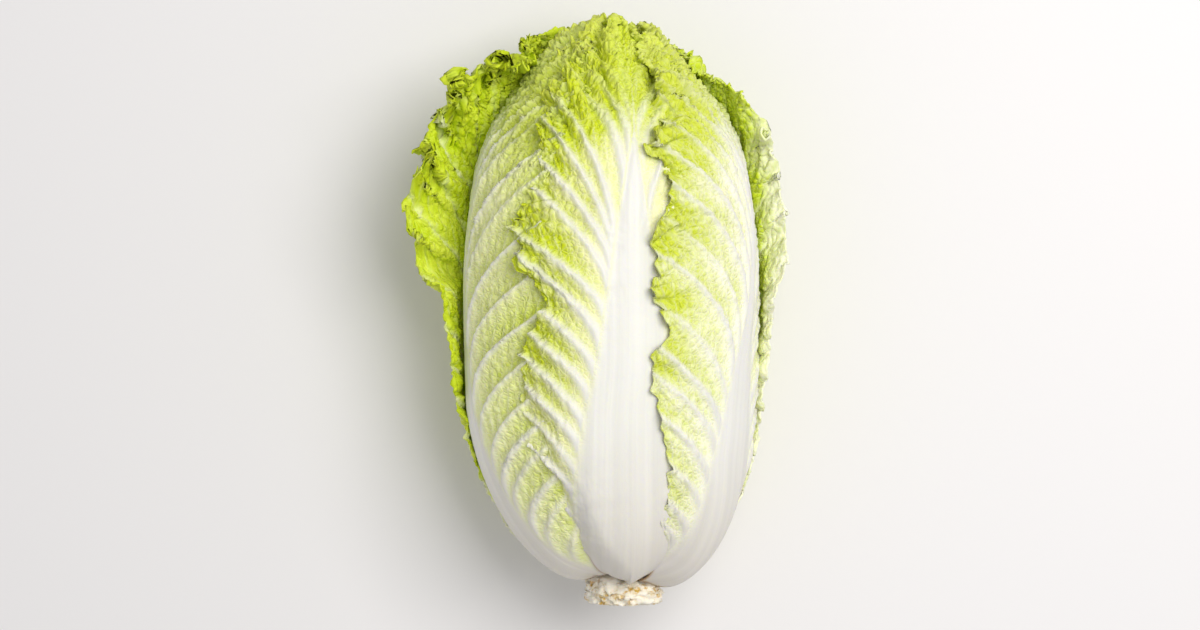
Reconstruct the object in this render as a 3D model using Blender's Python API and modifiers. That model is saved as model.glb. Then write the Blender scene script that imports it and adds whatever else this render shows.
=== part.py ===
"""Napa cabbage, picked whole and lying on its side.

+Y runs from the cut stem to the crown of the head and +Z is up. The origin is on the surface that
the head lies on, under the middle of the whole thing. Every leaf is its own closed solid. The
leaves are listed from the outermost inwards, and each lies as deep below the head's outline as
the leaves outside it need, so that no two meet. All of them grow from the stem core.
"""

import math
from collections import namedtuple

import bmesh
import bpy
import numpy as np

# The head's outline is turned about its axis. Stations are distances along it from the stem's cut.
PETIOLE_BASE = 0.009
BASE_RADIUS = 0.0195
HEAD_RADIUS = 0.079
WIDEST_STATION = 0.150
CROWN_STATION = 0.291
SHOULDER_POWER = 2.5
CROWN_POWER = 2.6

# The head is lower than it is wide, it bends a little at the stem, and its weight flattens it below.
FLATNESS = 0.87
STEM_OFFSET = 0.0075
STEM_BEND_END = 0.100
RESTING_FLAT = 0.0035

# The line in the middle of the head towards which deeper leaves shrink, as radii and stations.
HEART_BASE = (0.008, 0.145)
HEART_TIP = (0.003, 0.172)

# Leaf tissue, and the air left between one leaf and the next, which is widest at the stem.
BLADE_THICKNESS = 0.0015
LEAF_GAP = 0.0033
EDGE_RELIEF = math.radians(45)
NECK_SHARE = 0.12
NECK_THINNING = 0.3
TIP_FOLD = 0.8
TIP_ROUNDING = 0.10

# The outermost leaves are loose. They stand out from the head's sides and rise past its crown.
LEFT_FLARE = 0.028
RIGHT_FLARE = 0.0115
FLARE_START = 0.42
FLARE_FULL = 0.60
LEFT_SIDE = math.radians(178)
RIGHT_SIDE = math.radians(2)
LOOSE_CROWN_STATION = 0.300

Leaf = namedtuple("Leaf", "name azimuth base_wrap wrap petiole rib reach size loose")
"""azimuth is the midrib's angle round the axis, from +X through +Z, and the wraps are half angles
round it at the stem and above, all in degrees. petiole is the half width of the thick white
middle and rib is its thickness, at the stem. reach is the tip's share of the way from the stem to
the crown. size is the leaf's girth over the head's."""

OUTER_LEAVES = [
    Leaf("bottom_wrapper_leaf", 268, 52, 60, 0.026, 0.0085, 0.97, 1.00, True),
    Leaf("left_wrapper_leaf", 225, 50, 55, 0.025, 0.0075, 0.96, 1.00, True),
    Leaf("right_wrapper_leaf", 313, 50, 55, 0.025, 0.0075, 0.96, 1.00, True),
    Leaf("right_leaf", 27, 34, 46, 0.027, 0.0080, 0.94, 0.97, False),
    Leaf("front_leaf", 85, 42, 42, 0.028, 0.0085, 0.95, 0.94, False),
    Leaf("left_leaf", 159, 45, 48, 0.027, 0.0080, 0.96, 0.92, False),
]

# The leaves out of sight follow one another up the stem core's spiral, each smaller than the last.
FIRST_INNER = Leaf("first", 285, 48, 58, 0.025, 0.0058, 0.97, 0.88, False)
LAST_INNER = Leaf("last", None, 48, 68, 0.011, 0.0022, 0.97, 0.33, False)
INNER_LEAVES = 14
HEART_LEAVES = 3
DIVERGENCE = 137.5

# Faces across and along a leaf. The rows lie closer together where the leaf bends most.
OUTER_GRID = (14, 14)
INNER_GRID = (10, 10)
COLUMN_CROWDING = 1.1
ROW_CROWDING = 0.05
CORE_SIDES = 24


def inner_leaves():
    """The leaves out of sight, from the outermost to the heart."""
    count = INNER_LEAVES + HEART_LEAVES
    leaves = []
    for number in range(count):
        share = number / (count - 1)
        name = f"inner_leaf_{number + 1:02d}"
        if number >= INNER_LEAVES:
            name = f"heart_leaf_{number - INNER_LEAVES + 1}"
        azimuth = (FIRST_INNER.azimuth + DIVERGENCE * number) % 360
        shape = [
            first + (last - first) * share
            for first, last in zip(FIRST_INNER[2:8], LAST_INNER[2:8])
        ]
        leaves.append(Leaf(name, azimuth, *shape, False))
    return leaves


def ramp(value, start, end):
    """0 before start and 1 after end, with a smooth rise between them."""
    rise = np.clip((value - start) / (end - start), 0, 1)
    return rise * rise * (3 - 2 * rise)


def outline():
    """The head's outline as shares of its length, radii and stations."""
    turn = np.linspace(0, math.pi / 2, 240)
    radius = [
        BASE_RADIUS + (HEAD_RADIUS - BASE_RADIUS) * np.sin(turn),
        HEAD_RADIUS * np.cos(turn[1:]),
    ]
    station = [
        PETIOLE_BASE + (WIDEST_STATION - PETIOLE_BASE) * (1 - np.cos(turn) ** (2 / SHOULDER_POWER)),
        WIDEST_STATION + (CROWN_STATION - WIDEST_STATION) * np.sin(turn[1:]) ** (2 / CROWN_POWER),
    ]
    radius, station = np.concatenate(radius), np.concatenate(station)
    along = np.concatenate([[0], np.cumsum(np.hypot(np.diff(radius), np.diff(station)))])
    return along / along[-1], radius, station


OUTLINE = outline()


def radius_at(share):
    return np.interp(share, OUTLINE[0], OUTLINE[1])


def station_at(share):
    return np.interp(share, OUTLINE[0], OUTLINE[2])


def half_wrap(leaf, share):
    """Half the angle that the leaf takes up round the head. Its tip folds far round the crown."""
    along = share / leaf.reach
    degrees = leaf.base_wrap + (leaf.wrap - leaf.base_wrap) * ramp(along, 0.05, 0.55)
    return np.radians(degrees) * (1 + TIP_FOLD * ramp(along, 0.70, 1.0))


def thickness(leaf, across, share):
    """The leaf's thickness at a distance from its midrib, thick in the petiole, thin in the blade."""
    along = np.clip(share / leaf.reach, 0, 1)
    neck = 1 - NECK_THINNING * (1 - ramp(along, 0, NECK_SHARE))
    rib = BLADE_THICKNESS + (leaf.rib - BLADE_THICKNESS) * neck * (1 - along) ** 1.3
    rib_width = 0.002 + leaf.petiole * 0.95 * (1 - along) ** 0.9
    return BLADE_THICKNESS + (rib - BLADE_THICKNESS) / (1 + (across / rib_width) ** 4)


def tip_share(leaf, side):
    """Where the leaf ends, nearer the stem at its sides than at its midrib."""
    return leaf.reach * (1 - TIP_ROUNDING * side**2)


def room_for(leaf, angle, share):
    """How far the leaf pushes the ones inside it towards the heart, easing off beyond its edges."""
    turn = (angle - math.radians(leaf.azimuth) + math.pi) % (2 * math.pi) - math.pi
    cover = 1 - ramp(np.abs(turn) - half_wrap(leaf, share), 0, EDGE_RELIEF)
    across = turn * radius_at(share) * leaf.size
    gap = LEAF_GAP * (2 - ramp(share, 0, NECK_SHARE))
    return cover * (thickness(leaf, across, share) / FLATNESS + gap)


def flare(angle, share):
    """How far a loose leaf stands out sideways: most at the head's left, less at its right."""
    to_left = ramp(np.cos(angle - LEFT_SIDE), 0.3, 1.0)
    to_right = ramp(np.cos(angle - RIGHT_SIDE), 0.3, 1.0)
    upwards = ramp(share, FLARE_START, FLARE_FULL)
    at_the_tip = 1 - 0.8 * ramp(share, 0.88, 1.0)
    return (LEFT_FLARE * to_left + RIGHT_FLARE * to_right) * upwards * at_the_tip


def place(angle, share, depth, loose=False):
    """The point at an angle round the head and a share of the way to the crown, below its outline."""
    radius, station = radius_at(share), station_at(share)
    heart_radius = HEART_BASE[0] + (HEART_TIP[0] - HEART_BASE[0]) * share
    heart_station = HEART_BASE[1] + (HEART_TIP[1] - HEART_BASE[1]) * share
    mix = depth / np.hypot(radius - heart_radius, station - heart_station)
    underside = RESTING_FLAT - FLATNESS * (HEAD_RADIUS + radius * np.sin(angle))
    lift = np.maximum(underside, 0) * (1 - mix)
    radius = radius + (heart_radius - radius) * mix
    station = station + (heart_station - station) * mix
    if loose:
        radius = radius + flare(angle, share)
        station = station + (LOOSE_CROWN_STATION - CROWN_STATION) * ramp(share, 0.45, 0.90)
    across = radius * np.cos(angle) + STEM_OFFSET * (1 - np.clip(station / STEM_BEND_END, 0, 1))
    height = radius * np.sin(angle) * FLATNESS + lift
    return np.stack([across, station, height], axis=-1)


def leaf_material(name, colour, roughness):
    """Plant tissue of one colour."""
    material = bpy.data.materials.new(name)
    material.use_nodes = True
    shader = material.node_tree.nodes["Principled BSDF"]
    shader.inputs["Base Color"].default_value = (*colour, 1)
    shader.inputs["Roughness"].default_value = roughness
    shader.inputs["Metallic"].default_value = 0
    return material


def make_leaf(leaf, outside, material):
    """One leaf: a sheet bent round the head, thickened inwards, most of all along its petiole."""
    columns, rows = OUTER_GRID if leaf in OUTER_LEAVES else INNER_GRID
    sheet = bmesh.new()
    bmesh.ops.create_grid(sheet, x_segments=columns, y_segments=rows, size=1)
    mesh = bpy.data.meshes.new(leaf.name)
    sheet.to_mesh(mesh)
    sheet.free()
    flat = np.empty(len(mesh.vertices) * 3, np.float32)
    mesh.vertices.foreach_get("co", flat)
    flat = flat.reshape(-1, 3).astype(float)
    side = np.sign(flat[:, 0]) * np.abs(flat[:, 0]) ** COLUMN_CROWDING
    row = (flat[:, 1] + 1) / 2
    share = (row - ROW_CROWDING * np.sin(2 * math.pi * row)) * tip_share(leaf, side)
    turn = side * half_wrap(leaf, share)
    angle = math.radians(leaf.azimuth) - turn
    depth = sum((room_for(other, angle, share) for other in outside), np.zeros(len(angle)))
    places = place(angle, share, depth, leaf.loose)
    mesh.vertices.foreach_set("co", places.astype(np.float32).ravel())
    mesh.materials.append(material)
    mesh.shade_smooth()
    thing = bpy.data.objects.new(leaf.name, mesh)
    across = turn * radius_at(share) * leaf.size
    swell = thing.vertex_groups.new(name="thickness")
    for index, share_of_rib in enumerate(thickness(leaf, across, share) / leaf.rib):
        swell.add([index], float(share_of_rib), "REPLACE")
    shell = thing.modifiers.new("thickness", "SOLIDIFY")
    shell.thickness = leaf.rib
    shell.offset = -1
    shell.vertex_group = swell.name
    return thing


def make_stem_core(material):
    """The short stem that all the leaves grow from: a blunt cone, cut off square at the bottom."""
    profile = [
        (0.0000, 0.078),
        (0.0035, 0.076),
        (0.0060, 0.070),
        (0.0145, 0.015),
        (0.0160, 0.009),
        (0.0180, 0.006),
        (0.0155, 0.000),
        (0.0000, 0.000),
    ]
    mesh = bpy.data.meshes.new("stem_core")
    edges = [(i, i + 1) for i in range(len(profile) - 1)]
    mesh.from_pydata([(radius, 0, station) for radius, station in profile], edges, [])
    mesh.materials.append(material)
    core = bpy.data.objects.new("stem_core", mesh)
    core.rotation_euler = (-math.pi / 2, 0, math.atan2(STEM_OFFSET, STEM_BEND_END))
    core.location.x = STEM_OFFSET
    turned = core.modifiers.new("turned", "SCREW")
    turned.steps = turned.render_steps = CORE_SIDES
    turned.use_merge_vertices = True
    turned.merge_threshold = 0.0001
    turned.use_smooth_shade = True
    return core


def lowest_and_highest(things):
    """The corners of the box that holds all of these, as their modifiers leave them."""
    bpy.context.view_layer.update()
    graph = bpy.context.evaluated_depsgraph_get()
    corners = []
    for thing in things:
        shown = thing.evaluated_get(graph)
        corners += [shown.matrix_world @ vertex.co for vertex in shown.to_mesh().vertices]
        shown.to_mesh_clear()
    corners = np.array(corners)
    return corners.min(axis=0), corners.max(axis=0)


def main():
    for thing in list(bpy.data.objects):
        bpy.data.objects.remove(thing)
    cabbage = bpy.data.collections.new("napa_cabbage")
    bpy.context.scene.collection.children.link(cabbage)

    wrapper_green = leaf_material("wrapper_leaf", (0.42, 0.58, 0.06), 0.5)
    leaf_green = leaf_material("head_leaf", (0.72, 0.78, 0.33), 0.5)
    heart_yellow = leaf_material("heart_leaf", (0.85, 0.80, 0.42), 0.5)
    stem_white = leaf_material("stem", (0.88, 0.80, 0.60), 0.6)

    things = [make_stem_core(stem_white)]
    leaves = OUTER_LEAVES + inner_leaves()
    for number, leaf in enumerate(leaves):
        material = wrapper_green if leaf.loose else leaf_green
        if leaf.name.startswith("heart"):
            material = heart_yellow
        things.append(make_leaf(leaf, leaves[:number], material))

    middle = bpy.data.objects.new("middle", None)
    cabbage.objects.link(middle)
    for thing in things:
        cabbage.objects.link(thing)
        thing.parent = middle
    low, high = lowest_and_highest(things)
    middle.location = (-(low[0] + high[0]) / 2, -(low[1] + high[1]) / 2, -low[2])


main()
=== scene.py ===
# A napa cabbage, picked whole, trimmed and lying on its side.
# +Y runs from the cut stem to the crown. The leaves are listed from the outermost inwards.
import math
from collections import namedtuple

import bpy
import numpy as np
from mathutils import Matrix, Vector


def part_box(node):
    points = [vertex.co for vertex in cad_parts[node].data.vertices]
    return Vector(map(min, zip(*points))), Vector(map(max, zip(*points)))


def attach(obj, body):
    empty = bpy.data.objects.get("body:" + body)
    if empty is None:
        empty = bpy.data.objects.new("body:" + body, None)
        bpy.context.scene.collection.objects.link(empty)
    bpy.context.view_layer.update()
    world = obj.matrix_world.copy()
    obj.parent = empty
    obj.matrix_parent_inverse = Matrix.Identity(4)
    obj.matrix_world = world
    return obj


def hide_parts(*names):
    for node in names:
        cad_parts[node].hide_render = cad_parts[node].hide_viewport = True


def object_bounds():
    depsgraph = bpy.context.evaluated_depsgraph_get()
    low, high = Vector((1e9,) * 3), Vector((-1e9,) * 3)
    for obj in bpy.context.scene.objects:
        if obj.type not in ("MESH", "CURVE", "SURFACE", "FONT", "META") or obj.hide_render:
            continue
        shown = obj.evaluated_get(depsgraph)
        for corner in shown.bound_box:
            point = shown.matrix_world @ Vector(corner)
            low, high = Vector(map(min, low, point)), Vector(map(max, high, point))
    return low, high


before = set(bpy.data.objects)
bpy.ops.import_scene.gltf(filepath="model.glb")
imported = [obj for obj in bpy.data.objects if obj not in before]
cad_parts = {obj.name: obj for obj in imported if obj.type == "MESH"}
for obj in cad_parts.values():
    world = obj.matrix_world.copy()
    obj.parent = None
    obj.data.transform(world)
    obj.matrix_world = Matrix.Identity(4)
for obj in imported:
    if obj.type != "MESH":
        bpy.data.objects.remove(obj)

bpy.ops.object.select_all(action="DESELECT")
cad_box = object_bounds()


# ---- The head's growth ----
# Every leaf follows the head's outline, which is turned about its axis and flattened by its own
# weight. A leaf lies as deep below the outline as the leaves outside it need.

STEM_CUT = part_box("stem_core")[0].y
HEAD_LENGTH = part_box("bottom_wrapper_leaf")[1].y - STEM_CUT
STEM_OFFSET = 0.0075
STEM_BEND_END = 0.100
PETIOLE_BASE = 0.009
BASE_RADIUS = 0.0195
HEAD_RADIUS = 0.079
WIDEST_STATION = 0.150
CROWN_STATION = HEAD_LENGTH - 0.0045
SHOULDER_POWER = 2.5
CROWN_POWER = 2.6
FLATNESS = 0.87
RESTING_FLAT = 0.0035
HEART_BASE = (0.008, 0.145)
HEART_TIP = (0.003, 0.172)
CAD_BLADE = 0.0015
BLADE = 0.0009
LEAF_GAP = 0.0033
EDGE_RELIEF = math.radians(45)
NECK_SHARE = 0.12
TIP_FOLD = 0.8
TIP_ROUNDING = 0.10

# azimuth is where the midrib lies round the head, and base_wrap and wrap are how far the leaf reaches
# on each side of it, near its base and above, all in degrees. petiole is half its width and rib its
# thickness. reach is the share of the outline that the leaf follows, and size its share of the girth.
Leaf = namedtuple("Leaf", "name azimuth base_wrap wrap petiole rib reach size")


def ramp(value, start, end):
    """A smooth step from 0 at start to 1 at end."""
    rise = np.clip((value - start) / (end - start), 0, 1)
    return rise * rise * (3 - 2 * rise)


def outline():
    """Shares of the way from the stem to the crown, with the radius and station at each."""
    turn = np.linspace(0, math.pi / 2, 240)
    shoulder = 1 - np.cos(turn) ** (2 / SHOULDER_POWER)
    crown = np.sin(turn[1:]) ** (2 / CROWN_POWER)
    radius = np.concatenate([
        BASE_RADIUS + (HEAD_RADIUS - BASE_RADIUS) * np.sin(turn),
        HEAD_RADIUS * np.cos(turn[1:]),
    ])
    station = np.concatenate([
        PETIOLE_BASE + (WIDEST_STATION - PETIOLE_BASE) * shoulder,
        WIDEST_STATION + (CROWN_STATION - WIDEST_STATION) * crown,
    ])
    along = np.concatenate([[0], np.cumsum(np.hypot(np.diff(radius), np.diff(station)))])
    return along[-1], along / along[-1], radius, station


OUTLINE_LENGTH, SHARES, RADII, STATIONS = outline()


def radius_at(share):
    return np.interp(share, SHARES, RADII)


def half_wrap(leaf, share):
    """How far round the head the leaf reaches on each side of its midrib."""
    along = share / leaf.reach
    degrees = leaf.base_wrap + (leaf.wrap - leaf.base_wrap) * ramp(along, 0.05, 0.55)
    return np.radians(degrees) * (1 + TIP_FOLD * ramp(along, 0.70, 1.0))


def thickness(leaf, across, share, blade):
    """A leaf's thickness, which is greatest down the middle of its petiole."""
    along = np.clip(share / leaf.reach, 0, 1)
    neck = 1 - 0.3 * (1 - ramp(along, 0, NECK_SHARE))
    rib = blade + (leaf.rib - blade) * neck * (1 - along) ** 1.3
    rib_width = 0.002 + leaf.petiole * 0.95 * (1 - along) ** 0.9
    return blade + (rib - blade) / (1 + (across / rib_width) ** 4)


def room_for(leaf, angle, share):
    """How deep a leaf outside this one pushes it, at these angles round the head."""
    turn = (angle - math.radians(leaf.azimuth) + math.pi) % (2 * math.pi) - math.pi
    cover = 1 - ramp(np.abs(turn) - half_wrap(leaf, share), 0, EDGE_RELIEF)
    across = turn * radius_at(share) * leaf.size
    gap = LEAF_GAP * ramp(share, -0.04, NECK_SHARE)
    return cover * (thickness(leaf, across, share, CAD_BLADE) / FLATNESS + gap)


cut_face = [v.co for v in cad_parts["stem_core"].data.vertices if v.co.y < STEM_CUT + 0.004]
AXIS_X = sum(corner.x for corner in cut_face) / len(cut_face) - STEM_OFFSET
AXIS_Z = FLATNESS * HEAD_RADIUS - RESTING_FLAT


def place(angle, share, depth):
    """Points of the head, at these angles and shares and this deep below its outline."""
    radius, station = radius_at(share), np.interp(share, SHARES, STATIONS)
    heart_radius = HEART_BASE[0] + (HEART_TIP[0] - HEART_BASE[0]) * share
    heart_station = HEART_BASE[1] + (HEART_TIP[1] - HEART_BASE[1]) * share
    mix = depth / np.hypot(radius - heart_radius, station - heart_station)
    underside = RESTING_FLAT - FLATNESS * (HEAD_RADIUS + radius * np.sin(angle))
    lift = np.maximum(underside, 0) * (1 - mix)
    radius = radius + (heart_radius - radius) * mix
    station = station + (heart_station - station) * mix
    bend = STEM_OFFSET * (1 - np.clip(station / STEM_BEND_END, 0, 1))
    across = AXIS_X + radius * np.cos(angle) + bend
    height = AXIS_Z + radius * np.sin(angle) * FLATNESS + lift
    return np.stack([across, station + STEM_CUT, height], axis=-1)


# ---- Leaf tissue ----
# A cabbage leaf is a fleshy white petiole that runs on as the midrib, with a thin blade on each
# side. Thick side veins leave it at acute angles, and the blade is blistered between them.


def linear(code):
    """The linear colour of a six-digit colour code."""
    levels = np.array([int(code[i:i + 2], 16) for i in (0, 2, 4)]) / 255
    levels = np.where(levels < 0.04045, levels / 12.92, ((levels + 0.055) / 1.055) ** 2.4)
    return (*levels, 1)


def join(tree, output, socket):
    """Links an output to an input socket, or sets the socket's value if it's given one."""
    if isinstance(output, bpy.types.NodeSocket):
        tree.links.new(output, socket)
    else:
        socket.default_value = output


def add_node(tree, kind, label, **inputs):
    """A node of this kind with its sockets, by name, linked or set."""
    node = tree.nodes.new(kind)
    node.label = label
    for name, value in inputs.items():
        join(tree, value, node.inputs[name.replace("_", " ")])
    return node


def blend_colour(tree, label, share, first, second):
    """The first colour turning to the second as share goes from 0 to 1."""
    node = tree.nodes.new("ShaderNodeMix")
    node.data_type = "RGBA"
    node.label = label
    join(tree, share, node.inputs[0])
    join(tree, first, node.inputs[6])
    join(tree, second, node.inputs[7])
    return node.outputs[2]


def calculate(tree, operation, label, *values):
    """A Math node's result."""
    node = tree.nodes.new("ShaderNodeMath")
    node.operation = operation
    node.label = label
    for value, socket in zip(values, node.inputs):
        join(tree, value, socket)
    return node.outputs[0]


def make_tissue_group():
    """Colour, roughness and normal of leaf tissue, from where the white and the green parts are."""
    group = bpy.data.node_groups.new("leaf tissue", "ShaderNodeTree")
    face = group.interface
    for name, kind in [
        ("Flat leaf", "Vector"), ("White", "Float"), ("Green", "Float"), ("Brown", "Float"),
        ("Petiole colour", "Color"), ("Pale colour", "Color"), ("Green colour", "Color"),
    ]:
        face.new_socket(name, in_out="INPUT", socket_type=f"NodeSocket{kind}")
    for name, kind in [("Colour", "Color"), ("Roughness", "Float"), ("Normal", "Vector")]:
        face.new_socket(name, in_out="OUTPUT", socket_type=f"NodeSocket{kind}")
    given = group.nodes.new("NodeGroupInput").outputs
    result = group.nodes.new("NodeGroupOutput").inputs

    veinlets = add_node(group, "ShaderNodeTexVoronoi", "veinlets", Vector=given["Flat leaf"], Scale=400.0)
    veinlets.feature = "DISTANCE_TO_EDGE"
    cell = add_node(group, "ShaderNodeMapRange", "between veinlets", Value=veinlets.outputs["Distance"])
    cell.inputs["From Max"].default_value = 0.28
    patches = add_node(group, "ShaderNodeTexNoise", "patches", Vector=given["Flat leaf"], Scale=60.0)
    speckle = add_node(group, "ShaderNodeTexNoise", "speckle", Vector=given["Flat leaf"], Scale=900.0)
    stretch = add_node(group, "ShaderNodeMapping", "along the petiole", Vector=given["Flat leaf"])
    stretch.inputs["Scale"].default_value = (240, 5, 1)
    fibres = add_node(group, "ShaderNodeTexNoise", "fibres", Vector=stretch.outputs[0], Scale=1.0)
    fibres.inputs["Detail"].default_value = 3.0
    leaf_place = add_node(group, "ShaderNodeSeparateXYZ", "across and along", Vector=given["Flat leaf"])
    # The petiole turns greyer towards the cut: partly its own translucent grey, partly painted shade where
    # the base curves away from the light.
    cut_end_grey_and_shade = add_node(group, "ShaderNodeMapRange", "near the cut", Value=leaf_place.outputs["Y"])
    cut_end_grey_and_shade.inputs["From Max"].default_value = 0.105
    cut_end_grey_and_shade.inputs["To Min"].default_value = 0.62
    cut_end_grey_and_shade.inputs["To Max"].default_value = 0.0

    varied = calculate(group, "MULTIPLY_ADD", "patchy green", patches.outputs[0], 0.5, -0.25)
    cells = calculate(group, "MULTIPLY_ADD", "greener cells", cell.outputs[0], 0.26, -0.16)
    varied = calculate(group, "ADD", "both", varied, cells)
    green = calculate(group, "ADD", "green", given["Green"], varied)
    green = add_node(group, "ShaderNodeClamp", "green share", Value=green)
    blade = blend_colour(
        group, "blade", green.outputs[0], given["Pale colour"], given["Green colour"]
    )
    fibre_tone = add_node(group, "ShaderNodeMapRange", "fibre tone", Value=fibres.outputs[0])
    fibre_tone.inputs["From Min"].default_value = 0.25
    fibre_tone.inputs["From Max"].default_value = 0.75
    fibre_tone.inputs["To Min"].default_value = 0.92
    fibre_tone.inputs["To Max"].default_value = 1.03
    petiole = add_node(group, "ShaderNodeVectorMath", "petiole")
    petiole.operation = "SCALE"
    # Greyer near the cut: partly the petiole's real grey, partly painted shade.
    fleshy = blend_colour(
        group, "greyer near the cut", cut_end_grey_and_shade.outputs[0], given["Petiole colour"], linear("d3c7b9")
    )
    join(group, fleshy, petiole.inputs[0])
    join(group, fibre_tone.outputs[0], petiole.inputs["Scale"])
    tissue = blend_colour(group, "tissue", given["White"], blade, petiole.outputs[0])
    scar = blend_colour(group, "scar", given["Brown"], tissue, linear("a37b4c"))
    join(group, scar, result["Colour"])

    rough = add_node(group, "ShaderNodeMapRange", "roughness", Value=given["White"])
    rough.inputs["To Min"].default_value = 0.50
    rough.inputs["To Max"].default_value = 0.36
    mottled = calculate(group, "MULTIPLY_ADD", "uneven gloss", speckle.outputs[0], 0.14, rough.outputs[0])
    join(group, mottled, result["Roughness"])

    on_blade = calculate(group, "SUBTRACT", "on the blade", 1.0, given["White"])
    crinkled = calculate(group, "MULTIPLY_ADD", "more where green", given["Green"], 1.5, 0.7)
    domes = calculate(group, "MULTIPLY", "puckers", cell.outputs[0], on_blade)
    domes = calculate(group, "MULTIPLY", "crinkled puckers", domes, crinkled)
    ribs = calculate(group, "MULTIPLY", "ribs", fibres.outputs[0], given["White"])
    ribs = calculate(group, "MULTIPLY_ADD", "ribs and puckers", ribs, 0.9, domes)
    height = calculate(group, "MULTIPLY_ADD", "with speckle", speckle.outputs[0], 0.15, ribs)
    bump = add_node(group, "ShaderNodeBump", "relief", Height=height, Strength=0.5)
    bump.inputs["Distance"].default_value = 0.0006
    join(group, bump.outputs[0], result["Normal"])
    return group


tissue_group = make_tissue_group()


def make_tissue(name, petiole, pale, green):
    """Leaf tissue in this leaf's own colours."""
    material = bpy.data.materials.new(name)
    material.use_nodes = True
    tree = material.node_tree
    shader = tree.nodes["Principled BSDF"]
    shader.inputs["Subsurface Weight"].default_value = 0.25
    shader.inputs["Subsurface Radius"].default_value = (0.8, 1.0, 0.25)
    shader.inputs["Subsurface Scale"].default_value = 0.0025
    shader.inputs["Specular IOR Level"].default_value = 0.35
    tissue = tree.nodes.new("ShaderNodeGroup")
    tissue.node_tree = tissue_group
    flat = tree.nodes.new("ShaderNodeUVMap")
    flat.uv_map = "flat leaf"
    join(tree, flat.outputs[0], tissue.inputs["Flat leaf"])
    for mask in ("White", "Green", "Brown"):
        attribute = tree.nodes.new("ShaderNodeAttribute")
        attribute.attribute_name = mask.lower()
        join(tree, attribute.outputs["Fac"], tissue.inputs[mask])
    join(tree, linear(petiole), tissue.inputs["Petiole colour"])
    join(tree, linear(pale), tissue.inputs["Pale colour"])
    join(tree, linear(green), tissue.inputs["Green colour"])
    join(tree, tissue.outputs["Colour"], shader.inputs["Base Color"])
    join(tree, tissue.outputs["Roughness"], shader.inputs["Roughness"])
    join(tree, tissue.outputs["Normal"], shader.inputs["Normal"])
    return material


# ---- How a leaf is modelled ----
# A leaf starts as a flat grid and is laid round the head. Its side veins, pleats, blisters and
# ruffles are raised from that, and it is then given its thickness.


def hills(x, y, seed):
    """Smooth random hills about one unit across, from -1 to 1."""
    heights = np.random.default_rng(seed).uniform(-1, 1, (64, 64))
    column, row = np.floor(x).astype(int), np.floor(y).astype(int)
    right, up = x - column, y - row
    right, up = right * right * (3 - 2 * right), up * up * (3 - 2 * up)
    column, row = column % 64, row % 64
    next_column, next_row = (column + 1) % 64, (row + 1) % 64
    near = heights[column, row] * (1 - right) + heights[next_column, row] * right
    far = heights[column, next_row] * (1 - right) + heights[next_column, next_row] * right
    return near * (1 - up) + far * up


def blisters(x, y, seed):
    """Domed cells about one unit across, from 0 along the creases between them to 1 on top."""
    scatter = np.random.default_rng(seed).uniform(0.1, 0.9, (64, 64, 2))
    column, row = np.floor(x).astype(int), np.floor(y).astype(int)
    nearest = np.full(x.shape, 9.0)
    second = nearest.copy()
    for right in (-1, 0, 1):
        for up in (-1, 0, 1):
            centre = scatter[(column + right) % 64, (row + up) % 64]
            away = np.hypot(column + right + centre[..., 0] - x, row + up + centre[..., 1] - y)
            second = np.minimum(second, np.maximum(nearest, away))
            nearest = np.minimum(nearest, away)
    return np.clip((second - nearest) * 1.5, 0, 1) ** 0.6


def folds(x, y, seed):
    """Sharp random folds about one unit apart, from about -1 in the hollows to 1 on the ridges."""
    return 1 - 2.3 * np.abs(hills(x, y, seed))


def unit(vectors):
    return vectors / np.maximum(np.linalg.norm(vectors, axis=-1, keepdims=True), 1e-9)


def directions(surface):
    """The directions to the leaf's side, to its tip and outwards, square to each other."""
    to_side = unit(np.gradient(surface, axis=1))
    outwards = unit(np.cross(to_side, unit(np.gradient(surface, axis=0))))
    return to_side, np.cross(outwards, to_side), outwards


def tip_share(leaf, side):
    """Where the leaf's rounded tip ends."""
    return leaf.reach * (1 - TIP_ROUNDING * side**2)


VEIN_CURVE = 0.6
TWIG_SPACING = 0.0085


def side_veins(along, beside, joints, spreads, seed):
    """The veins on one side of a midrib, which leave it at the joints and curve away from it.

    Gives the veins and twigs, how far up its pleat each point is, and a place along and across."""
    chance = np.random.default_rng(seed)
    count = len(joints)
    reach = (beside + 0.0005) ** VEIN_CURVE
    lines = joints[:, None, None] + spreads[:, None, None] * reach
    below = np.clip((lines <= along).sum(axis=0) - 1, 0, count - 2)
    first = np.take_along_axis(lines, below[None], axis=0)[0]
    second = np.take_along_axis(lines, below[None] + 1, axis=0)[0]
    part = np.clip((along - first) / (second - first), 0, 1)
    slope = VEIN_CURVE * spreads[below] * (beside + 0.0015) ** (VEIN_CURVE - 1)
    spacing = (second - first) / np.sqrt(1 + slope**2)
    from_vein = np.minimum(part, 1 - part) * spacing
    nearest = below + (part > 0.5)
    width = 0.0011 + 0.0015 * np.exp(-beside / 0.025)
    fading = 0.62 + 0.38 * np.exp(-beside / 0.045)
    vein = chance.uniform(0.55, 1.2, count)[nearest] * np.exp(-((from_vein / width) ** 2)) * fading
    pleat = (1 - ramp(part, 0, 0.14)) + ramp(part, 0.18, 1.0)
    strength = chance.uniform(0.30, 1.25, count)[below]
    twig = beside / TWIG_SPACING - part * spacing / 0.010 + chance.uniform(0, 1, count)[below]
    from_twig = np.abs(twig - np.round(twig)) * TWIG_SPACING
    twigs = np.exp(-((from_twig / 0.0006) ** 2)) * (1 - ramp(part, 0.35, 0.95))
    return vein, twigs, pleat, strength, (below + part) * 0.012, beside * np.sqrt(1 + slope**2)


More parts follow.
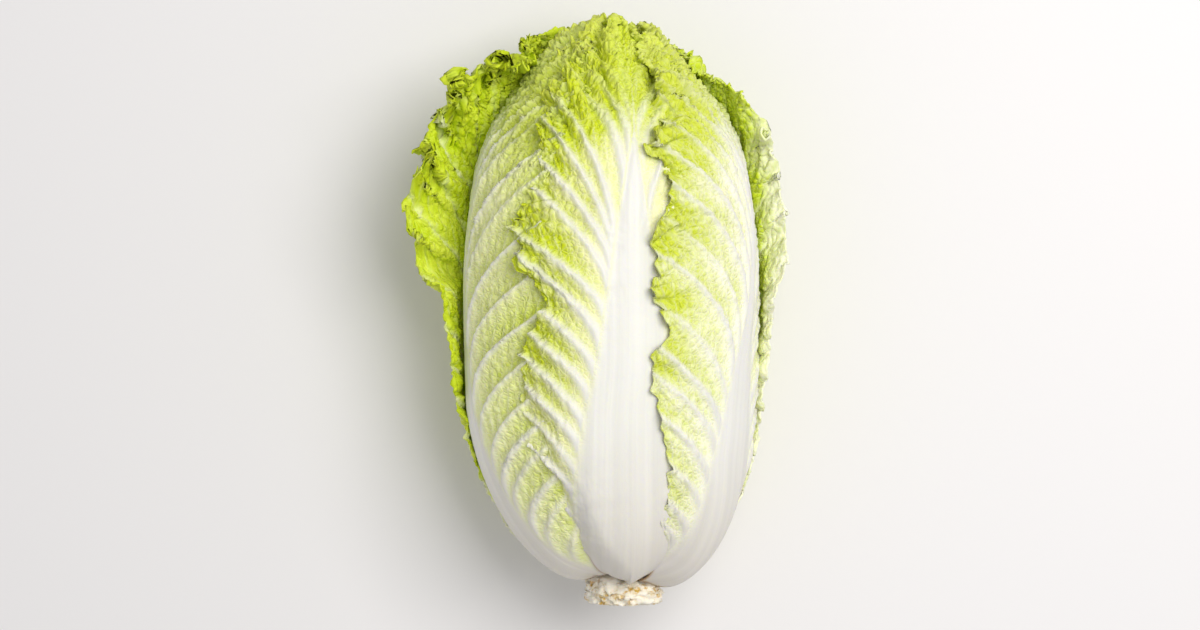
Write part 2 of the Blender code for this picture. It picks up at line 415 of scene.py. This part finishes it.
def usual_joints(seed, step=0.0105):
    """Where a leaf's side veins join its midrib and how far they spread, lowest first."""
    chance = np.random.default_rng(seed)
    joints = np.cumsum(step * np.linspace(0.85, 1.6, 26) * chance.uniform(0.75, 1.3, 26)) - 0.060
    return joints, np.interp(joints, [0.05, 0.11, 0.19], [0.25, 0.28, 0.50])


# How a leaf is finished. columns and rows are its grid. white is the petiole's width over the usual
# one, taper is how soon it narrows, and bare is where the green wings start beside it. drift is how
# far the midrib leans, in degrees, and press is how deep the margin is pressed down on the left and on
# the right, both at BENDS up the leaf. pleat, blister, ruffle and crumple are heights. low_ruffle is
# the share of the ruffling that is left near the base, and tip_frill is how much more the tip has.
# lift is the share of the leaf's depth by which its tip comes back out. scallop is how uneven the
# margin is, in degrees, and pale_rim is how much of its green the margin loses, partly its own paler
# tissue and partly painted light where it catches the lamp. brim is how wide a band of the margin
# turns outwards, and shifts is how many degrees further it reaches, both on the left and on the right
# at BENDS. A clump is a side, a place up the leaf, a reach along the margin, how far it hangs over in
# degrees, and how much more it's ruffled. joints are the side veins' own.
Look = namedtuple(
    "Look",
    "columns rows white taper drift pleat blister ruffle low_ruffle crumple tip_frill press lift scallop"
    " bare pale_rim brim shifts clumps joints",
)
# Places up the leaf, in metres, at which a look's drift, press, brim and shifts are set.
BENDS = (0.03, 0.09, 0.135, 0.168, 0.186, 0.215, 0.250, 0.285, 0.340)
NONE = (0,) * 9
SIDE_CROWDING = 0.28
TIP_CROWDING = 0.42
TIP_NARROWING = 0.24
BRIM_BEND = 0.0055
BRIM_TURN = math.radians(72)
TIP_CENTRE = 0.20
TIP_SPAN = 0.11
TIP_FOLDS = (0.235, 0.30)
PETIOLE_HALF = 0.0375
MIDRIB_END = 0.262
MIDRIB_HEIGHT = 0.0016
VEIN_HEIGHT = 0.0016
TWIG_HEIGHT = 0.00045
FIBRE_HEIGHT = 0.00012
DENT_HEIGHT = 0.0014
BLISTER_SIZE = (0.0060, 0.0080)
PUCKER_SIZE = (0.0030, 0.0036)
FRILL_FOLD = (0.0050, 0.0120)
KNOB = 0.0044
SMALL_KNOB = 0.0024
CURL = 0.0042
LONG_WAVE = 0.024
SHORT_WAVE = 0.0100
FLOOR_GAP = 0.0002


def at_bends(pair, along, side):
    """A value that a look sets at BENDS for the left and the right of a leaf."""
    return np.where(side < 0, np.interp(along, BENDS, pair[0]), np.interp(along, BENDS, pair[1]))


def grow_leaf(leaf, covers, look, material, seed):
    """One leaf, laid round the head under the leaves that cover it."""
    bpy.ops.mesh.primitive_grid_add(
        x_subdivisions=look.columns, y_subdivisions=look.rows, size=2, calc_uvs=False
    )
    piece = bpy.context.active_object
    piece.name = leaf.name.replace("_leaf", "_leaf_tissue")
    mesh = piece.data
    start = np.empty(len(mesh.vertices) * 3)
    mesh.vertices.foreach_get("co", start)
    start = start.reshape(look.rows + 1, look.columns + 1, 3)
    side, row = start[..., 0], (start[..., 1] + 1) / 2
    side = side * (1 + SIDE_CROWDING - SIDE_CROWDING * side**2)
    row = row + TIP_CROWDING * row * (1 - row)

    # The margin, with its uneven lobes and the clumps that hang over.
    share = row * tip_share(leaf, side)
    along = share * OUTLINE_LENGTH
    edge = np.where(side < 0, -1, 1)
    margin = half_wrap(leaf, share) + np.radians(at_bends(look.shifts, along, side))
    margin = margin * (1 - TIP_NARROWING * row**6)
    wavy = hills(along / 0.019, edge * 3.3 + 7, seed + 1) + 0.5 * hills(along / 0.008, edge * 5.1, seed + 2)
    wavy = wavy + 0.35 * hills(along / 0.0035, edge * 2.1, seed + 3)
    margin = margin + np.radians(look.scallop * wavy) * ramp(along, 0.03, 0.08)
    clumped = np.zeros_like(along)
    for clump_side, station, reach, degrees, extra in look.clumps:
        bulge = np.exp(-(((along - station) / reach) ** 2)) * (edge == clump_side)
        margin = margin + math.radians(degrees) * bulge
        clumped = clumped + extra * bulge
    turn = side * margin
    angle = math.radians(leaf.azimuth) - turn
    depth = sum((room_for(other, angle, share) for other in covers), np.zeros_like(angle))
    depth = depth * (1 - look.lift * ramp(share, 0.82, 0.95))
    surface = place(angle, share, depth)
    to_side, to_tip, outwards = directions(surface)

    # The flat leaf, measured from its leaning midrib, and the distance to the margin.
    lean = np.interp(along, BENDS, look.drift)
    across = (turn - np.radians(lean)) * radius_at(share) * leaf.size
    half = np.where(across < 0, -1, 1)
    from_side = (1 - np.abs(side)) * margin * radius_at(share) * leaf.size
    from_tip = (1 - row) * tip_share(leaf, side) * OUTLINE_LENGTH
    inset = from_side * from_tip / (from_side + from_tip + 1e-6)
    tipward = (from_side / (from_side + from_tip + 1e-6))[..., None]
    rim = unit(to_side * edge[..., None] * (1 - tipward) + to_tip * tipward)

    # The brim that turns outwards, and the distance along the margin and round the tip.
    brim = at_bends(look.brim, along, side)
    tip_corner = ramp(np.abs(side), 0.75, 1) * ramp(row, 0.88, 1)
    past_bend = np.maximum(brim - inset, 0) * (1 - 0.8 * tip_corner)
    spread = (past_bend - BRIM_BEND * (1 - np.exp(-past_bend / BRIM_BEND)))[..., None]
    surface = surface + outwards * spread * math.sin(BRIM_TURN) - rim * spread * (1 - math.cos(BRIM_TURN))
    to_side, to_tip, outwards = directions(surface)
    rim = unit(to_side * edge[..., None] * (1 - tipward) + to_tip * tipward)
    along_rim = np.cross(outwards, rim)
    round_tip = math.pi / 2 - np.arctan2(np.abs(across), np.maximum(along - TIP_CENTRE, 0.0001))
    up_the_side, over_the_tip = TIP_CENTRE + TIP_SPAN - along, TIP_SPAN - 0.07 * round_tip
    run = np.where(along < TIP_CENTRE, up_the_side, over_the_tip) * edge

    # The petiole with its fine ribs, the side veins, the pleats and the blisters.
    petiole_half = look.white * PETIOLE_HALF * np.clip(1 - along / MIDRIB_END, 0.001, 1) ** look.taper
    petiole_half = np.maximum(petiole_half, 0.0004)
    beside = np.maximum(np.abs(across) - petiole_half, 0)
    off_petiole = ramp(np.abs(across) / petiole_half, 0.84, 1.30)
    joints = look.joints or (usual_joints(seed + 4), usual_joints(seed + 5))
    left = side_veins(along, beside, *joints[0], seed + 6)
    right = side_veins(along, beside, *joints[1], seed + 7)
    vein, twigs, pleat, pleat_strength, laid, long_way = np.where(half < 0, left, right)
    hidden = np.zeros_like(angle)
    spare = math.radians(7) + math.radians(32) * ramp(share, 0.62, 0.82)
    for other in covers:
        over = (angle - math.radians(other.azimuth) + math.pi) % (2 * math.pi) - math.pi
        inside = ramp(half_wrap(other, share) - np.abs(over) - spare, 0, math.radians(9))
        hidden = np.maximum(hidden, inside * (1 - ramp(share, 0.80, 0.90)))
    shown = (1 - 0.85 * hidden)[..., None]
    warp = 0.35 * hills(across / 0.009, along / 0.009, seed + 8)
    cells = blisters(
        laid / BLISTER_SIZE[0] + half * 11 + warp, long_way / BLISTER_SIZE[1] + warp, seed + 9
    )
    small_cells = blisters(
        laid / PUCKER_SIZE[0] + half * 17 - warp, long_way / PUCKER_SIZE[1], seed + 10
    )
    on_blade = ramp(beside, 0.001, 0.016)
    relief = MIDRIB_HEIGHT * np.clip(1 - (across / (petiole_half * 1.15)) ** 2, 0, 1)
    fibres = hills(across / 0.0022, along / 0.15, seed + 11)
    relief = relief + FIBRE_HEIGHT * fibres * (1 - off_petiole)
    relief = relief + VEIN_HEIGHT * vein * off_petiole + TWIG_HEIGHT * twigs * on_blade
    relief = relief + look.pleat * (pleat - 0.55) * pleat_strength * on_blade
    puckered = on_blade * (0.75 + 0.75 * np.exp(-inset / 0.020))
    relief = relief + look.blister * (0.60 * cells + 0.40 * small_cells - 0.5) * puckered
    relief = relief + DENT_HEIGHT * hills(across / 0.030, along / 0.045, seed + 12)

    # The margin's ruffles, from long waves to small knobs and curls. They come in clumps.
    clump_green_and_shade = clumped * np.exp(-inset / 0.018)
    winged = ramp(along, look.bare, look.bare + 0.03)
    upwards = look.low_ruffle + (1 - look.low_ruffle) * ramp(along, 0.12, 0.20)
    leafy = winged * ramp(along, 0.02, 0.07) * upwards
    clumped = clumped + 0.45 + 0.75 * ramp(hills(run / 0.026, 3.3, seed + 13), -0.2, 0.7)
    tipness = ramp(along, *TIP_FOLDS)
    leafy = leafy * (clumped + look.tip_frill * tipness)
    frill = leafy * np.exp(-inset / (0.012 + 0.010 * tipness))
    fine_frill = leafy * np.exp(-inset / (0.0105 + 0.010 * tipness + 0.5 * brim))
    fine_frill = np.maximum(fine_frill, 0.6 * tipness)
    drift = 1.8 * hills(run / 0.030, inset / 0.02, seed + 14)
    long_wave = 2 * math.pi * run / LONG_WAVE + drift * 2.5
    short_wave = 2 * math.pi * run / SHORT_WAVE + drift * 4
    ruffled = look.ruffle * frill * (1 - 0.5 * tip_corner)
    relief = relief + ruffled * (np.sin(long_wave) + 0.60 * np.sin(short_wave))
    relief = relief - at_bends(look.press, along, side) * ramp(-inset, -0.020, 0)
    sideways = 0.5 * look.ruffle * frill * np.sin(2 * long_wave)
    sideways = sideways + 0.35 * look.ruffle * fine_frill * np.cos(short_wave)
    sideways = sideways * (1 - 0.8 * tip_corner)
    fold = 0.35 * folds(run / FRILL_FOLD[0], inset / FRILL_FOLD[1], seed + 15)
    fold = fold + 0.95 * (blisters(across / KNOB + warp, along / KNOB, seed + 23) - 0.55)
    fold = fold + 0.50 * (blisters(across / SMALL_KNOB, along / SMALL_KNOB + warp, seed + 16) - 0.55)
    curl = [hills(across / CURL + 3 * k, along / CURL, seed + 17 + k) for k in range(2)]
    curled = look.crumple * np.minimum(fine_frill, 1.25)
    moved = outwards * (relief + curled * fold)[..., None]
    moved = moved + rim * (0.35 * curled * curl[0])[..., None]
    moved = moved + along_rim * (sideways + 0.35 * curled * curl[1])[..., None]
    surface = surface + moved * shown
    surface[..., 2] = np.maximum(surface[..., 2], FLOOR_GAP)
    mesh.vertices.foreach_set("co", surface.reshape(-1))

    # Where the tissue is white, green and scarred brown. It's greenest between the side veins, along
    # the margin, in the frills and at the tip. The extra green in the pleat valleys, the fold hollows and
    # the clumps is partly painted shade, and in the brim's crease it is painted shade. The flat leaf is the
    # map of its patterns.
    vein_mask = np.clip(1.5 * vein * ramp(beside, 0, 0.002) + 0.40 * twigs * on_blade, 0, 1)
    white = np.maximum(1 - off_petiole, vein_mask * (0.65 + 0.35 * np.exp(-beside / 0.025)))
    white = np.maximum(white * (1 - 0.9 * tipness), 0.92 * (1 - winged))
    # The pleat valleys are made greener: partly the tissue's own green, partly painted shade in the
    # hollows.
    valley_green_and_shade = (1 - pleat) * pleat_strength
    green = 0.02 + 0.16 * ramp(beside, 0, 0.030) + 0.36 * np.exp(-inset / 0.014)
    green = green + (0.36 * valley_green_and_shade + 0.22 * (0.55 - cells)) * on_blade
    # In the frills the fold hollows are greener than the ridges: partly their own green, partly painted
    # shade.
    green = green + fine_frill * (0.62 - 0.50 * fold - 0.15 * np.sin(short_wave))
    # The clumps that hang over are greener: partly their own green, partly painted shade within them.
    green = green + 0.90 * tipness + 0.50 * clump_green_and_shade
    # The crease where the brim bends outwards is made greener: painted shade on the leaf's inner face
    # beside the head.
    brim_crease_shade = ramp(brim, 0, 0.01) * np.exp(-(((inset - brim) / 0.009) ** 2))
    green = green + 0.50 * brim_crease_shade
    green = green + 0.15 * hills(across / 0.018, along / 0.025, seed + 21)
    # The margin loses green here: partly its own paler tissue, partly painted light where it catches the
    # lamp.
    green = green * (1 - look.pale_rim * np.exp(-((inset / 0.011) ** 2)) * (1 - tipness))
    brown = (1 - ramp(along, 0.0012, 0.0045)) * (0.6 + 0.4 * hills(across / 0.004, along, seed + 22))
    edge_line = np.exp(-((from_side / 0.0009) ** 2)) * (1 - ramp(along, 0.012, 0.045))
    brown = np.maximum(brown, 0.85 * edge_line)
    for name, values in (("white", white), ("green", green), ("brown", brown)):
        attribute = mesh.attributes.new(name, "FLOAT", "POINT")
        attribute.data.foreach_set("value", np.clip(values, 0, 1).astype(np.float32).reshape(-1))
    flat = np.stack([across + 0.25, along], axis=-1).reshape(-1, 2).astype(np.float32)
    at_vertex = np.empty(len(mesh.loops), dtype=np.int32)
    mesh.loops.foreach_get("vertex_index", at_vertex)
    mesh.uv_layers.new(name="flat leaf").uv.foreach_set("vector", flat[at_vertex].reshape(-1))

    # Its thickness, from the fleshy petiole to the thin blade.
    thick = thickness(leaf, across, share, BLADE)
    thick = (BLADE + (thick - BLADE) * ramp(inset, 0, 0.014)) / leaf.rib
    group = piece.vertex_groups.new(name="rib")
    for index, value in enumerate(thick.reshape(-1)):
        group.add([index], value, "REPLACE")
    body_of_leaf = piece.modifiers.new("thickness", "SOLIDIFY")
    body_of_leaf.thickness = leaf.rib
    body_of_leaf.offset = -1
    body_of_leaf.vertex_group = group.name
    bpy.ops.object.modifier_apply(modifier=body_of_leaf.name)
    bpy.ops.object.shade_smooth()
    mesh.materials.append(material)
    piece.select_set(False)
    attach(piece, "root")
    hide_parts(leaf.name)


# ---- The loose wrapper leaves ----
# Three big, coarse, green leaves hold the head from below. They were exposed to the sun, so they
# are the greenest, and their ruffled margins stand out at the sides and past the crown.

wrapper_tissue = make_tissue("wrapper leaf tissue", "eef0cc", "e8f25c", "ccdf14")
# The right wrapper, on the lamp's side, gets a paler copy of the wrapper tissue: painted light for its lit,
# glowing face.
lit_wrapper_tissue = make_tissue("pale wrapper leaf tissue", "fdfde4", "fefee2", "d2e42c")
BOTTOM_WRAPPER = Leaf("bottom_wrapper_leaf", 268, 52, 60, 0.026, 0.0085, 0.97, 1.00)
LEFT_WRAPPER = Leaf("left_wrapper_leaf", 225, 50, 55, 0.025, 0.0075, 0.96, 1.00)
RIGHT_WRAPPER = Leaf("right_wrapper_leaf", 313, 50, 55, 0.025, 0.0075, 0.96, 1.00)
WRAPPERS = [BOTTOM_WRAPPER, LEFT_WRAPPER, RIGHT_WRAPPER]
BASE_PRESS = (0.0050, 0.0035, 0.0015, 0, 0, 0, 0, 0, 0)
TIP_BRIM = (0, 0, 0, 0, 0, 0, 0.002, 0.007, 0.009)
LEFT_BRIM = (0, 0.004, 0.008, 0.012, 0.028, 0.033, 0.029, 0.026, 0.012)
RIGHT_BRIM = (0, 0.004, 0.007, 0.010, 0.018, 0.018, 0.018, 0.014, 0.007)
wrapper_look = Look(
    columns=160, rows=300, white=0.85, taper=1.2, drift=NONE, pleat=0.0012, blister=0.0024,
    ruffle=0.0026, low_ruffle=0.35, crumple=0.0030, tip_frill=0.6, press=(BASE_PRESS, BASE_PRESS),
    lift=0.0, scallop=5.0, bare=0.050, pale_rim=0.0, brim=(TIP_BRIM, TIP_BRIM), shifts=(NONE, NONE),
    clumps=(), joints=None,
)
left_wrapper_look = wrapper_look._replace(
    brim=(TIP_BRIM, LEFT_BRIM),
    shifts=(NONE, (-9, -5, 1, 3, 6, 8, 8, 8, -24)),
    clumps=((1, 0.262, 0.012, 5, 0.4), (1, 0.228, 0.011, 6, 0.4), (1, 0.198, 0.009, 6, 0.4)),
)
# The right wrapper's rim is paled: painted light where it catches the lamp on the right.
right_wrapper_look = wrapper_look._replace(
    blister=0.0016, ruffle=0.0020, crumple=0.0015, pale_rim=0.75, brim=(RIGHT_BRIM, TIP_BRIM),
    shifts=((-9, -6, 1, 2, 5, 5, 5, 2, -35), NONE),
)
grow_leaf(BOTTOM_WRAPPER, [], wrapper_look, wrapper_tissue, 100)
grow_leaf(LEFT_WRAPPER, WRAPPERS[:1], left_wrapper_look, wrapper_tissue, 200)
grow_leaf(RIGHT_WRAPPER, WRAPPERS[:2], right_wrapper_look, lit_wrapper_tissue, 300)


# ---- The head leaves ----
# Three leaves close round the head above. The right one's margin lies on the front one, and the
# front one's on the left one. They are paler, with broad white petioles, and finely crinkled.

RIGHT_LEAF = Leaf("right_leaf", 27, 34, 46, 0.027, 0.0080, 0.96, 0.97)
FRONT_LEAF = Leaf("front_leaf", 85, 42, 42, 0.028, 0.0085, 0.97, 0.94)
LEFT_LEAF = Leaf("left_leaf", 159, 45, 48, 0.027, 0.0080, 0.98, 0.92)
HEAD_LEAVES = [RIGHT_LEAF, FRONT_LEAF, LEFT_LEAF]
HEAD_BRIM = (0, 0, 0, 0, 0, 0, 0, 0.002, 0.007)
head_look = Look(
    columns=155, rows=300, white=1.0, taper=1.0, drift=NONE, pleat=0.0020, blister=0.0018, ruffle=0.0020,
    low_ruffle=0.35, crumple=0.0032, tip_frill=1.3, press=(NONE, NONE), lift=0.7, scallop=4.0,
    bare=-0.03, pale_rim=0.0, brim=(HEAD_BRIM, HEAD_BRIM), shifts=(NONE, NONE), clumps=(), joints=None,
)
right_look = head_look._replace(
    white=1.15, taper=1.8, pleat=0.0012, pale_rim=0.15,
    press=((0.0052, 0.0003, 0.0006, 0.0008, 0.0008, 0.0006, 0.0006, 0.0004, 0), NONE),
    drift=(6, -4, -2, 6, 9, 9, 6, -6, -14),
    shifts=((4, 4, 1, -1, -1, -2, -7, -19, -22), (14, 6, 0, 0, 0, 0, 0, 0, 0)),
    clumps=(
        (-1, 0.140, 0.008, 3, 0.8), (-1, 0.172, 0.009, 4, 1.0), (-1, 0.207, 0.010, 5, 1.2),
        (-1, 0.245, 0.012, 5, 1.4), (-1, 0.272, 0.014, 6, 1.4),
    ),
)
FRONT_LEFT_VEINS = (
    np.array([-.04, -.02, 0, .018, .036, .054, .068, .080, .092, .103, .116, .129, .143,
              .159, .171, .180, .185, .189, .221, .239, .257, .275]),
    np.array([.24, .24, .24, .25, .25, .26, .26, .27, .27, .28, .28, .29, .31,
              .27, .36, .40, .50, .62, .60, .62, .64, .66]),
)
front_look = head_look._replace(
    pleat=0.0026, press=((0.0085, 0.0060, 0.0028, 0.0022, 0.0020, 0.0018, 0.0015, 0.0010, 0), NONE),
    joints=(FRONT_LEFT_VEINS, usual_joints(33, 0.016)),
    drift=(0, 2, 4, 4, 4, 4, 5, 6, 7), shifts=((-14, 0, -5, -9, -3, -1, -8, -20, -28), NONE),
    clumps=((-1, 0.202, 0.014, 4, 1.4), (-1, 0.270, 0.022, 4, 1.4), (-1, 0.145, 0.012, 2, 0.6)),
)
left_look = head_look._replace(
    white=0.75, taper=1.5, drift=(-2, -8, -13, -15, -15, -14, -12, -9, -7), pleat=0.0028,
    shifts=(NONE, (16, 8, 2, 0, 0, 0, 0, 0, 0)),
)
right_tissue = make_tissue("right leaf tissue", "e4e2db", "f9f8dc", "d0dc34")
front_tissue = make_tissue("front leaf tissue", "e6e4dc", "f6f4c0", "d0de10")
left_tissue = make_tissue("left leaf tissue", "f0eee4", "f3f5b8", "d0de4c")
grow_leaf(RIGHT_LEAF, WRAPPERS, right_look, right_tissue, 400)
grow_leaf(FRONT_LEAF, WRAPPERS + HEAD_LEAVES[:1], front_look, front_tissue, 500)
grow_leaf(LEFT_LEAF, WRAPPERS + HEAD_LEAVES[:2], left_look, left_tissue, 600)


# ---- The inner leaves and the heart ----
# Fourteen leaves fill the head and three wrap the heart, one after another up the stem's spiral.
# Each is smaller, thinner and paler than the last, and only a few tips show at the crown.

FIRST_INNER = Leaf("first", 285, 48, 58, 0.025, 0.0058, 0.992, 0.88)
LAST_INNER = Leaf("last", None, 48, 68, 0.011, 0.0022, 0.992, 0.33)
INNER_LEAVES = 14
HEART_LEAVES = 3
CROWN_LEAVES = 6
DIVERGENCE = 137.5
inner_tissue = make_tissue("inner leaf tissue", "f4f2dc", "f4f2a8", "d6e334")
heart_tissue = make_tissue("heart leaf tissue", "f1edcc", "f0e67c", "dcd84a")
inner_look = head_look._replace(
    columns=50, rows=80, white=0.8, pleat=0.0005, blister=0.0004, ruffle=0.0006, crumple=0.0006,
    lift=0.4, scallop=1.0, brim=(NONE, NONE),
)
crown_look = head_look._replace(
    columns=84, rows=200, white=0.5, low_ruffle=0.1, ruffle=0.0030, crumple=0.0032, lift=0.75,
    brim=(NONE, NONE),
)
covers = WRAPPERS + HEAD_LEAVES
for number in range(INNER_LEAVES + HEART_LEAVES):
    deepness = number / (INNER_LEAVES + HEART_LEAVES - 1)
    name, slot, tissue = f"inner_leaf_{number + 1:02d}", "head_leaf", inner_tissue
    if number >= INNER_LEAVES:
        name, slot, tissue = f"heart_leaf_{number - INNER_LEAVES + 1}", "heart_leaf", heart_tissue
    shape = [a + (b - a) * deepness for a, b in zip(FIRST_INNER[2:8], LAST_INNER[2:8])]
    azimuth = (FIRST_INNER.azimuth + DIVERGENCE * number) % 360
    inner = Leaf(name, azimuth, *shape)
    look = crown_look if number < CROWN_LEAVES else inner_look
    grow_leaf(inner, covers, look, tissue, 1000 + 40 * number)
    covers = covers + [inner]


# ---- The cut stem ----
# The stub left where the head was cut from its root. It is solid, creamy and moist, with rings of
# yellow and orange-brown vessel ends, and it is ragged where the lowest leaves were broken off.

CORE_TIP_STATION = 0.076
STUB_FLATNESS = 0.95
FLAKE_SPACING = 0.0042
FLAKE_DEPTH = 0.0010
TEAR_DEPTH = 0.0018
CRACK_DEPTH = 0.0012
RING_SPACING = 0.0022
RING_DEPTH = 0.0004
bpy.ops.mesh.primitive_uv_sphere_add(segments=96, ring_count=72, radius=1)
stub = bpy.context.active_object
stub.name = "cut_stem"
ball = np.empty(len(stub.data.vertices) * 3)
stub.data.vertices.foreach_get("co", ball)
ball = ball.reshape(-1, 3)
polar = np.arccos(np.clip(-ball[:, 2], -1, 1)) / math.pi
round_stub = np.arctan2(ball[:, 1], ball[:, 0])
PROFILE = np.array([
    (0.00, 0.0000, 0.0010), (0.16, 0.0100, 0.0006), (0.24, 0.0150, 0.0004), (0.28, 0.0168, 0.0012),
    (0.36, 0.0182, 0.0045), (0.46, 0.0180, 0.0085), (0.56, 0.0165, 0.0125), (0.64, 0.0140, 0.0180),
    (0.80, 0.0085, 0.0480), (0.94, 0.0040, 0.0700), (1.00, 0.0000, CORE_TIP_STATION),
])
radius = np.interp(polar, PROFILE[:, 0], PROFILE[:, 1])
station = np.interp(polar, PROFILE[:, 0], PROFILE[:, 2])
turns = round_stub * 3.2
ragged = ramp(polar, 0.10, 0.26) * (1 - ramp(polar, 0.56, 0.66))
flakes = (station / FLAKE_SPACING + 0.8 * hills(turns, station * 0 + 4, 61)) % 1
torn = TEAR_DEPTH * hills(turns * 1.4, station / 0.0035, 62)
torn = torn + CRACK_DEPTH * folds(turns * 3, station / 0.0018, 63)
radius = radius + ragged * (torn + FLAKE_DEPTH * (1 - flakes) - FLAKE_DEPTH / 2)
station = station + 0.0013 * ragged * hills(turns * 2.5, polar * 30, 64)
rings = np.sin(radius / RING_SPACING * 2 * math.pi)
station = station + (1 - ramp(polar, 0.2, 0.3)) * RING_DEPTH * rings
bend = STEM_OFFSET * (1 - station / STEM_BEND_END)
ball[:, 0] = AXIS_X + radius * np.cos(round_stub) + bend
ball[:, 1] = STEM_CUT + np.maximum(station, 0.0001)
ball[:, 2] = AXIS_Z + radius * np.sin(round_stub) * STUB_FLATNESS
stub.data.vertices.foreach_set("co", ball.reshape(-1))
bpy.ops.object.mode_set(mode="EDIT")
bpy.ops.mesh.select_all(action="SELECT")
bpy.ops.mesh.normals_make_consistent(inside=False)
bpy.ops.object.mode_set(mode="OBJECT")
bpy.ops.object.shade_smooth()

stem_tissue = bpy.data.materials.new("cut stem tissue")
stem_tissue.use_nodes = True
tree = stem_tissue.node_tree
shader = tree.nodes["Principled BSDF"]
shader.inputs["Subsurface Weight"].default_value = 0.2
shader.inputs["Subsurface Radius"].default_value = (1.0, 0.7, 0.4)
shader.inputs["Subsurface Scale"].default_value = 0.003
spot = tree.nodes.new("ShaderNodeTexCoord").outputs["Object"]
wander = add_node(tree, "ShaderNodeTexNoise", "uneven vessels", Vector=spot, Scale=420.0)
uneven = add_node(tree, "ShaderNodeVectorMath", "uneven places", Vector=spot)
uneven.operation = "MULTIPLY_ADD"
join(tree, wander.outputs["Color"], uneven.inputs[0])
join(tree, (0.006, 0.006, 0.006), uneven.inputs[1])
join(tree, spot, uneven.inputs[2])
vessels = add_node(tree, "ShaderNodeTexVoronoi", "vessel ends", Vector=uneven.outputs[0], Scale=230.0)
ring = add_node(tree, "ShaderNodeMapRange", "vessel size", Value=vessels.outputs["Distance"])
ring.inputs["From Min"].default_value = 0.20
ring.inputs["From Max"].default_value = 0.55
ring.inputs["To Min"].default_value = 1.0
ring.inputs["To Max"].default_value = 0.0
vessel_groups = add_node(tree, "ShaderNodeTexNoise", "groups of vessels", Vector=spot, Scale=130.0)
only_some = add_node(tree, "ShaderNodeMapRange", "only some", Value=vessel_groups.outputs[0])
only_some.inputs["From Min"].default_value = 0.42
only_some.inputs["From Max"].default_value = 0.58
marks = calculate(tree, "MULTIPLY", "marks", ring.outputs[0], only_some.outputs[0])
hue = add_node(tree, "ShaderNodeTexNoise", "yellow to orange", Vector=spot, Scale=220.0)
mark_colour = blend_colour(tree, "mark colour", hue.outputs[0], linear("e0c640"), linear("d0904a"))
flesh = blend_colour(tree, "flesh", vessel_groups.outputs[0], linear("fcf6ea"), linear("f3e6c8"))
join(tree, blend_colour(tree, "cut stem", marks, flesh, mark_colour), shader.inputs["Base Color"])
shader.inputs["Roughness"].default_value = 0.5
pitted = calculate(tree, "SUBTRACT", "pits and lumps", hue.outputs[0], marks)
bump = add_node(tree, "ShaderNodeBump", "torn flesh", Height=pitted, Strength=0.6)
bump.inputs["Distance"].default_value = 0.0008
join(tree, bump.outputs[0], shader.inputs["Normal"])
stub.data.materials.append(stem_tissue)
stub.select_set(False)
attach(stub, "root")
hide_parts("stem_core")


# ---- The table, the light and the camera ----
# A plain pale board, a large soft light high on the right, and the camera straight above.

bpy.ops.mesh.primitive_plane_add(size=6, location=(0, 0, -0.0003))
board = bpy.context.active_object
board.name = "board"
pale = bpy.data.materials.new("pale board")
pale.use_nodes = True
pale.node_tree.nodes["Principled BSDF"].inputs["Base Color"].default_value = linear("e9e6e5")
pale.node_tree.nodes["Principled BSDF"].inputs["Roughness"].default_value = 0.6
board.data.materials.append(pale)

LAMP_DISTANCE = 1.6
LAMP_HEIGHT = math.radians(64)
LAMP_TURN = math.radians(34)
lamp_out = LAMP_DISTANCE * math.cos(LAMP_HEIGHT)
bpy.ops.object.light_add(
    type="AREA",
    location=(
        lamp_out * math.cos(LAMP_TURN),
        lamp_out * math.sin(LAMP_TURN),
        LAMP_DISTANCE * math.sin(LAMP_HEIGHT),
    ),
)
window = bpy.context.active_object
window.name = "window"
window.data.size = 0.95
window.data.energy = 17.6
window.data.color = (1.0, 0.995, 0.985)
window.rotation_euler = window.location.to_track_quat("Z", "Y").to_euler()
world = bpy.data.worlds.new("room")
bpy.context.scene.world = world
world.use_nodes = True
world.node_tree.nodes["Background"].inputs["Color"].default_value = (0.97, 0.98, 1.0, 1)
world.node_tree.nodes["Background"].inputs["Strength"].default_value = 0.55

LENS = 90
SENSOR_WIDTH = 36
FRAME_WIDTH = 0.611
FRAME_MIDDLE = (0.0008, -0.003)
bpy.ops.object.camera_add(rotation=(0, 0, 0))
camera = bpy.context.active_object
camera.data.lens = LENS
camera.data.sensor_width = SENSOR_WIDTH
head_middle = (cad_box[0].z + cad_box[1].z) / 2
camera.location = (*FRAME_MIDDLE, head_middle + FRAME_WIDTH * LENS / SENSOR_WIDTH)
camera.data.clip_end = 20
bpy.context.scene.camera = camera
bpy.context.scene.view_settings.view_transform = "Standard"
